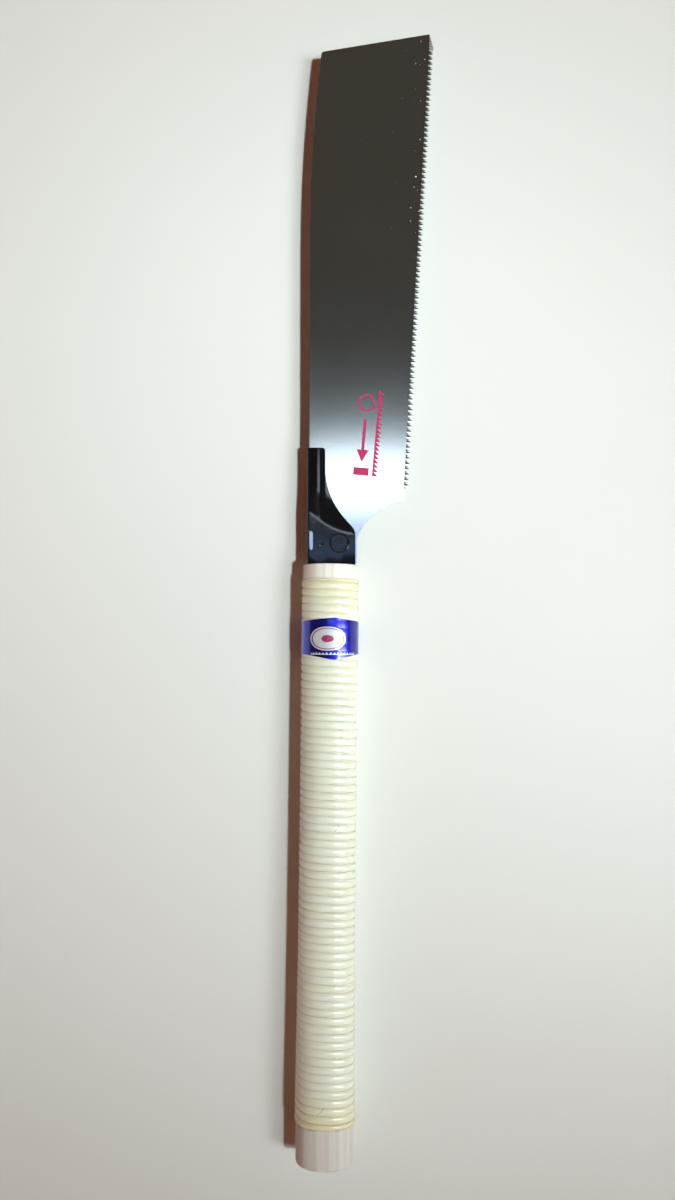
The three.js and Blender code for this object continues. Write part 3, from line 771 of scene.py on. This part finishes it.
# Label: blue metallised foil, printed and varnished, glued round the winding. It follows the turns
# under it a little, which breaks the lamp's glare into lobes.
labelValues = {
    "middleTop": 29,
    "middleBottom": 51.4,
    "sideTop": 30.9,
    "sideBottom": 48.2,
    "opening": math.radians(76),
    "turn": math.radians(8.6),
    "raised": 0.1,
    "wave": 0.035,  # mm that it sinks between two turns
    "thickness": 0.08,
    "around": 300,
    "down": 60,
    "sharpAngle": math.radians(50),
    "blue": [(0.35, "#120c98"), (0.65, "#1c16b4")],
    "silver": "#e8edf2",
    "motif": (-3.4, 40.2),  # mm round from the label's middle, and down from the handle's top
    "motifHalf": (9.6, 6.4),
    "motifRings": [
        (0, "#b8325e"), (0.3, "#dfe5ea"), (0.82, "#b8325e"), (0.9, "#dfe5ea"), (1, "#dfe5ea"),
    ],
    "teethHalf": 12.6,  # from the label's middle to each end of the row of teeth
    "toothHalf": 0.9,
    "toothSlope": 1.5,
    "toothTip": 47.3,  # mm down from the handle's top
    "toothFoot": 48.75,
    "metallic": (0.9, 0.3),  # bare foil, and under the silver print
    "roughness": (0.25, 0.4),
    "varnish": {"Coat Weight": 1, "Coat Roughness": 0.15, "Coat IOR": 1.75},
    "cloudScale": 0.12,  # waves in a mm: one in 8 mm
    "crinkleScale": 0.7,  # one in 1.4 mm
    "crinkleDepth": 0.04,
    "crinkleStrength": 0.6,
}


def makeFoil():
    values = labelValues
    material, tree, shader = startMaterial("printedBlueFoil", values["varnish"])
    foil = addNode(tree, "ShaderNodeAttribute", {"attribute_name": "foil"}).outputs["Vector"]
    parts = addNode(tree, "ShaderNodeSeparateXYZ", {}, {"Vector": foil}).outputs
    cloud = addNode(tree, "ShaderNodeTexNoise", {"Scale": values["cloudScale"], "Detail": 3}, {
        "Vector": foil,
    }).outputs["Fac"]
    blue = addNode(tree, "ShaderNodeValToRGB", {"stops": values["blue"]}, {"Fac": cloud}).outputs[0]

    halfAcross, halfDown = values["motifHalf"]
    shifted = addNode(tree, "ShaderNodeVectorMath", {
        "operation": "SUBTRACT", 1: (*values["motif"], 0),
    }, {0: foil}).outputs[0]
    scaled = addNode(tree, "ShaderNodeVectorMath", {
        "operation": "MULTIPLY", 1: (1 / halfAcross, 1 / halfDown, 0),
    }, {0: shifted}).outputs[0]
    fromMotif = addNode(tree, "ShaderNodeVectorMath", {"operation": "LENGTH"}, {
        0: scaled,
    }).outputs["Value"]
    motif = addNode(tree, "ShaderNodeValToRGB", {"stepped": True, "stops": values["motifRings"]}, {
        "Fac": fromMotif,
    }).outputs[0]
    onMotif = addNode(tree, "ShaderNodeMath", {"operation": "LESS_THAN", 1: 1}, {
        0: fromMotif,
    }).outputs[0]
    colour = addNode(tree, "ShaderNodeMix", {"data_type": "RGBA"}, {
        0: onMotif, 6: blue, 7: motif,
    }).outputs[2]

    # A row of small teeth: below their slopes, above their foot, and not past the row's ends
    slopes = addNode(tree, "ShaderNodeMath", {"operation": "PINGPONG", 1: values["toothHalf"]}, {
        0: parts["X"],
    }).outputs[0]
    toothTop = addNode(tree, "ShaderNodeMath", {
        "operation": "MULTIPLY_ADD", 1: values["toothSlope"], 2: values["toothTip"],
    }, {0: slopes}).outputs[0]
    belowTop = addNode(tree, "ShaderNodeMath", {"operation": "GREATER_THAN"}, {
        0: parts["Y"], 1: toothTop,
    }).outputs[0]
    aboveFoot = addNode(tree, "ShaderNodeMath", {"operation": "LESS_THAN", 1: values["toothFoot"]}, {
        0: parts["Y"],
    }).outputs[0]
    width = addNode(tree, "ShaderNodeMath", {"operation": "ABSOLUTE"}, {0: parts["X"]}).outputs[0]
    within = addNode(tree, "ShaderNodeMath", {"operation": "LESS_THAN", 1: values["teethHalf"]}, {
        0: width,
    }).outputs[0]
    row = belowTop
    for limit in (aboveFoot, within):
        row = addNode(tree, "ShaderNodeMath", {"operation": "MULTIPLY"}, {0: row, 1: limit}).outputs[0]
    colour = addNode(tree, "ShaderNodeMix", {"data_type": "RGBA", 7: linearFromHex(values["silver"])}, {
        0: row, 6: colour,
    }).outputs[2]
    printed = addNode(tree, "ShaderNodeMath", {"operation": "MAXIMUM"}, {0: row, 1: onMotif}).outputs[0]
    metal = addNode(tree, "ShaderNodeMapRange", {
        "To Min": values["metallic"][0], "To Max": values["metallic"][1],
    }, {"Value": printed}).outputs[0]
    crinkle = addNode(tree, "ShaderNodeTexNoise", {"Scale": values["crinkleScale"], "Detail": 2}, {
        "Vector": foil,
    }).outputs["Fac"]
    bump = addNode(tree, "ShaderNodeBump", {
        "Strength": values["crinkleStrength"], "Distance": values["crinkleDepth"] * mm,
    }, {"Height": crinkle}).outputs[0]
    rough = addNode(tree, "ShaderNodeMapRange", {
        "To Min": values["roughness"][0], "To Max": values["roughness"][1],
    }, {"Value": cloud}).outputs[0]
    tree.links.new(colour, shader.inputs["Base Color"])
    tree.links.new(metal, shader.inputs["Metallic"])
    tree.links.new(rough, shader.inputs["Roughness"])
    tree.links.new(bump, shader.inputs["Normal"])
    tree.links.new(bump, shader.inputs["Coat Normal"])
    return material


def makeLabel(material):
    values = labelValues
    bm = bmesh.new()
    layer = bm.verts.layers.float_vector.new("foil")
    bmesh.ops.create_grid(bm, x_segments=values["around"], y_segments=values["down"], size=1)
    reach = math.pi - values["opening"] / 2
    turnSine = math.sin(values["turn"])
    for vert in bm.verts:
        away = vert.co.x * reach
        angle = quarterTurn - values["turn"] - away
        # Its edges are straight as seen from above, from its middle out to the handle's sides
        aside = math.cos(angle) - turnSine
        share = abs(aside) / (1 + math.copysign(turnSine, -aside))
        if math.sin(angle) < 0:
            share = 1
        top = values["middleTop"] + (values["sideTop"] - values["middleTop"]) * share
        bottom = values["middleBottom"] + (values["sideBottom"] - values["middleBottom"]) * share
        down = (top + bottom) / 2 + vert.co.y * (bottom - top) / 2
        turn = ((windingValues["firstAngle"] - angle) / fullTurn) % 1
        first, second = windingEdges(turn + 1)
        place = (down - first) / (second - first + windingValues["gap"])
        sunk = values["wave"] * abs(2 * (place % 1) - 1) ** 2
        vert[layer] = (away * windingValues["waistHalfWidth"], down, 0)
        vert.co = gripPoint(angle, down, values["raised"] - sunk)
    bmesh.ops.recalc_face_normals(bm, faces=bm.faces)
    bmesh.ops.solidify(bm, geom=bm.faces[:], thickness=-values["thickness"] * mm)
    smoothBelow(bm, values["sharpAngle"])
    finishPiece(bm, "foil_label", material, "handle", "label_band")


makeLabel(makeFoil())
print("Label finished")


# Stage: a pale laminate table, matt and nearly plain, a small bright lamp and a wide soft one on the
# tooth side, a warm dim room, and two windows overhead that only the shiny pieces mirror. Far out, the
# table turns into the plain backdrop.
stageValues = {
    "reach": 8.0,  # metres, as all lengths here are
    "under": 0.0001,
    "laminate": [(0.3, "#e6e6e2"), (0.7, "#e8e8e4")],
    "cloudScale": 6,  # waves in a metre: one in 167 mm
    "roughness": 0.5,
    "sheen": 0.3,
    "litTo": 0.4,  # from here outwards the table fades to the backdrop
    "backdropFrom": 0.6,
    "backdrop": "#dededa",
    "room": [  # its light, from the walls' foot up to the ceiling
        (0.0, "#843c16"), (0.66, "#843c16"), (0.84, "#4a433c"), (0.91, "#46433b"), (0.95, "#3a3730"),
    ],
    "mirrored": [  # the same room as shiny pieces show it
        (0.2, "#dededa"), (0.42, "#4e4a44"), (0.84, "#4a433c"), (0.91, "#46433b"), (0.95, "#3a3730"),
    ],
    "lamps": {
        "smallLamp": {
            "place": (1.0, -0.35, 2.1), "target": (-0.03, 0.16, 0), "size": (0.13, 0.13),
            "power": 1.93, "colour": "#ecfcfc", "spread": math.radians(38), "mirroredOnly": False,
        },
        "softLamp": {
            "place": (1.66, -0.5, 1.85), "target": (0, 0.13, 0), "size": (0.95, 1.1),
            "power": 2.47, "colour": "#ecfcfc", "spread": math.radians(38), "mirroredOnly": False,
        },
        "brightWindow": {
            "place": (0.035, 0.244, 1.01), "target": (0.035, 0.244, 0), "size": (0.24, 0.094),
            "power": 0.34, "colour": "#dff0ff", "spread": math.pi, "mirroredOnly": True,
        },
        "paleWindow": {
            "place": (0.03, 0.075, 1.01), "target": (0.03, 0.075, 0), "size": (0.28, 0.15),
            "power": 0.24, "colour": "#9cc2ff", "spread": math.pi, "mirroredOnly": True,
        },
    },
}


def makeTableTop():
    values = stageValues
    material, tree, shader = startMaterial("paleLaminate", {
        "Roughness": values["roughness"], "Specular IOR Level": values["sheen"],
    })
    place = addNode(tree, "ShaderNodeTexCoord").outputs["Object"]
    cloud = addNode(tree, "ShaderNodeTexNoise", {"Scale": values["cloudScale"], "Detail": 3}, {
        "Vector": place,
    }).outputs["Fac"]
    colour = addNode(tree, "ShaderNodeValToRGB", {"stops": values["laminate"]}, {"Fac": cloud}).outputs[0]
    tree.links.new(colour, shader.inputs["Base Color"])
    away = addNode(tree, "ShaderNodeVectorMath", {"operation": "LENGTH"}, {0: place}).outputs["Value"]
    far = addNode(tree, "ShaderNodeMapRange", {
        "interpolation_type": "SMOOTHSTEP",
        "From Min": values["litTo"], "From Max": values["backdropFrom"],
    }, {"Value": away}).outputs[0]
    rays = addNode(tree, "ShaderNodeLightPath").outputs
    seen = addNode(tree, "ShaderNodeMath", {"operation": "MAXIMUM"}, {
        0: rays["Is Camera Ray"], 1: rays["Is Glossy Ray"],
    }).outputs[0]
    share = addNode(tree, "ShaderNodeMath", {"operation": "MULTIPLY"}, {0: far, 1: seen}).outputs[0]
    backdrop = addNode(tree, "ShaderNodeEmission", {"Color": linearFromHex(values["backdrop"])})
    mixed = addNode(tree, "ShaderNodeMixShader", {}, {
        0: share, 1: shader.outputs[0], 2: backdrop.outputs[0],
    })
    tree.links.new(mixed.outputs[0], tree.nodes["Material Output"].inputs["Surface"])
    return material


def makeTable(material):
    bm = bmesh.new()
    bmesh.ops.create_circle(bm, cap_ends=True, segments=64, radius=stageValues["reach"])
    bmesh.ops.translate(bm, vec=(0, 0, -stageValues["under"]), verts=bm.verts)
    bmesh.ops.recalc_face_normals(bm, faces=bm.faces)
    mesh = bpy.data.meshes.new("tableTop")
    bm.to_mesh(mesh)
    bm.free()
    mesh.materials.append(material)
    table = bpy.data.objects.new("tableTop", mesh)
    bpy.context.scene.collection.objects.link(table)


def placeLamp(name, values):
    data = bpy.data.lights.new(name, "AREA")
    data.shape = "RECTANGLE"
    data.size, data.size_y = values["size"]
    data.energy = values["power"]
    data.color = linearFromHex(values["colour"])[:3]
    data.spread = values["spread"]
    lamp = bpy.data.objects.new(name, data)
    bpy.context.scene.collection.objects.link(lamp)
    lamp.location = values["place"]
    aim = Vector(values["target"]) - Vector(values["place"])
    lamp.rotation_euler = aim.to_track_quat("-Z", "Y").to_euler()
    lamp.visible_diffuse = not values["mirroredOnly"]


def makeWorld():
    world = bpy.data.worlds.new("dimRoom")
    world.use_nodes = True
    tree = world.node_tree
    background = tree.nodes["Background"]
    direction = addNode(tree, "ShaderNodeTexCoord").outputs["Generated"]
    height = addNode(tree, "ShaderNodeSeparateXYZ", {}, {"Vector": direction}).outputs["Z"]
    room = addNode(tree, "ShaderNodeValToRGB", {"stops": stageValues["room"]}, {"Fac": height}).outputs[0]
    mirrored = addNode(tree, "ShaderNodeValToRGB", {"stops": stageValues["mirrored"]}, {
        "Fac": height,
    }).outputs[0]
    rays = addNode(tree, "ShaderNodeLightPath").outputs
    reflected = addNode(tree, "ShaderNodeMix", {"data_type": "RGBA"}, {
        0: rays["Is Glossy Ray"], 6: room, 7: mirrored,
    }).outputs[2]
    shown = addNode(tree, "ShaderNodeMix", {
        "data_type": "RGBA", 7: linearFromHex(stageValues["backdrop"]),
    }, {0: rays["Is Camera Ray"], 6: reflected}).outputs[2]
    tree.links.new(shown, background.inputs["Color"])
    bpy.context.scene.world = world


makeTable(makeTableTop())
for name, values in stageValues["lamps"].items():
    placeLamp(name, values)
makeWorld()
bpy.context.scene.view_settings.view_transform = "Standard"
print("Stage set")
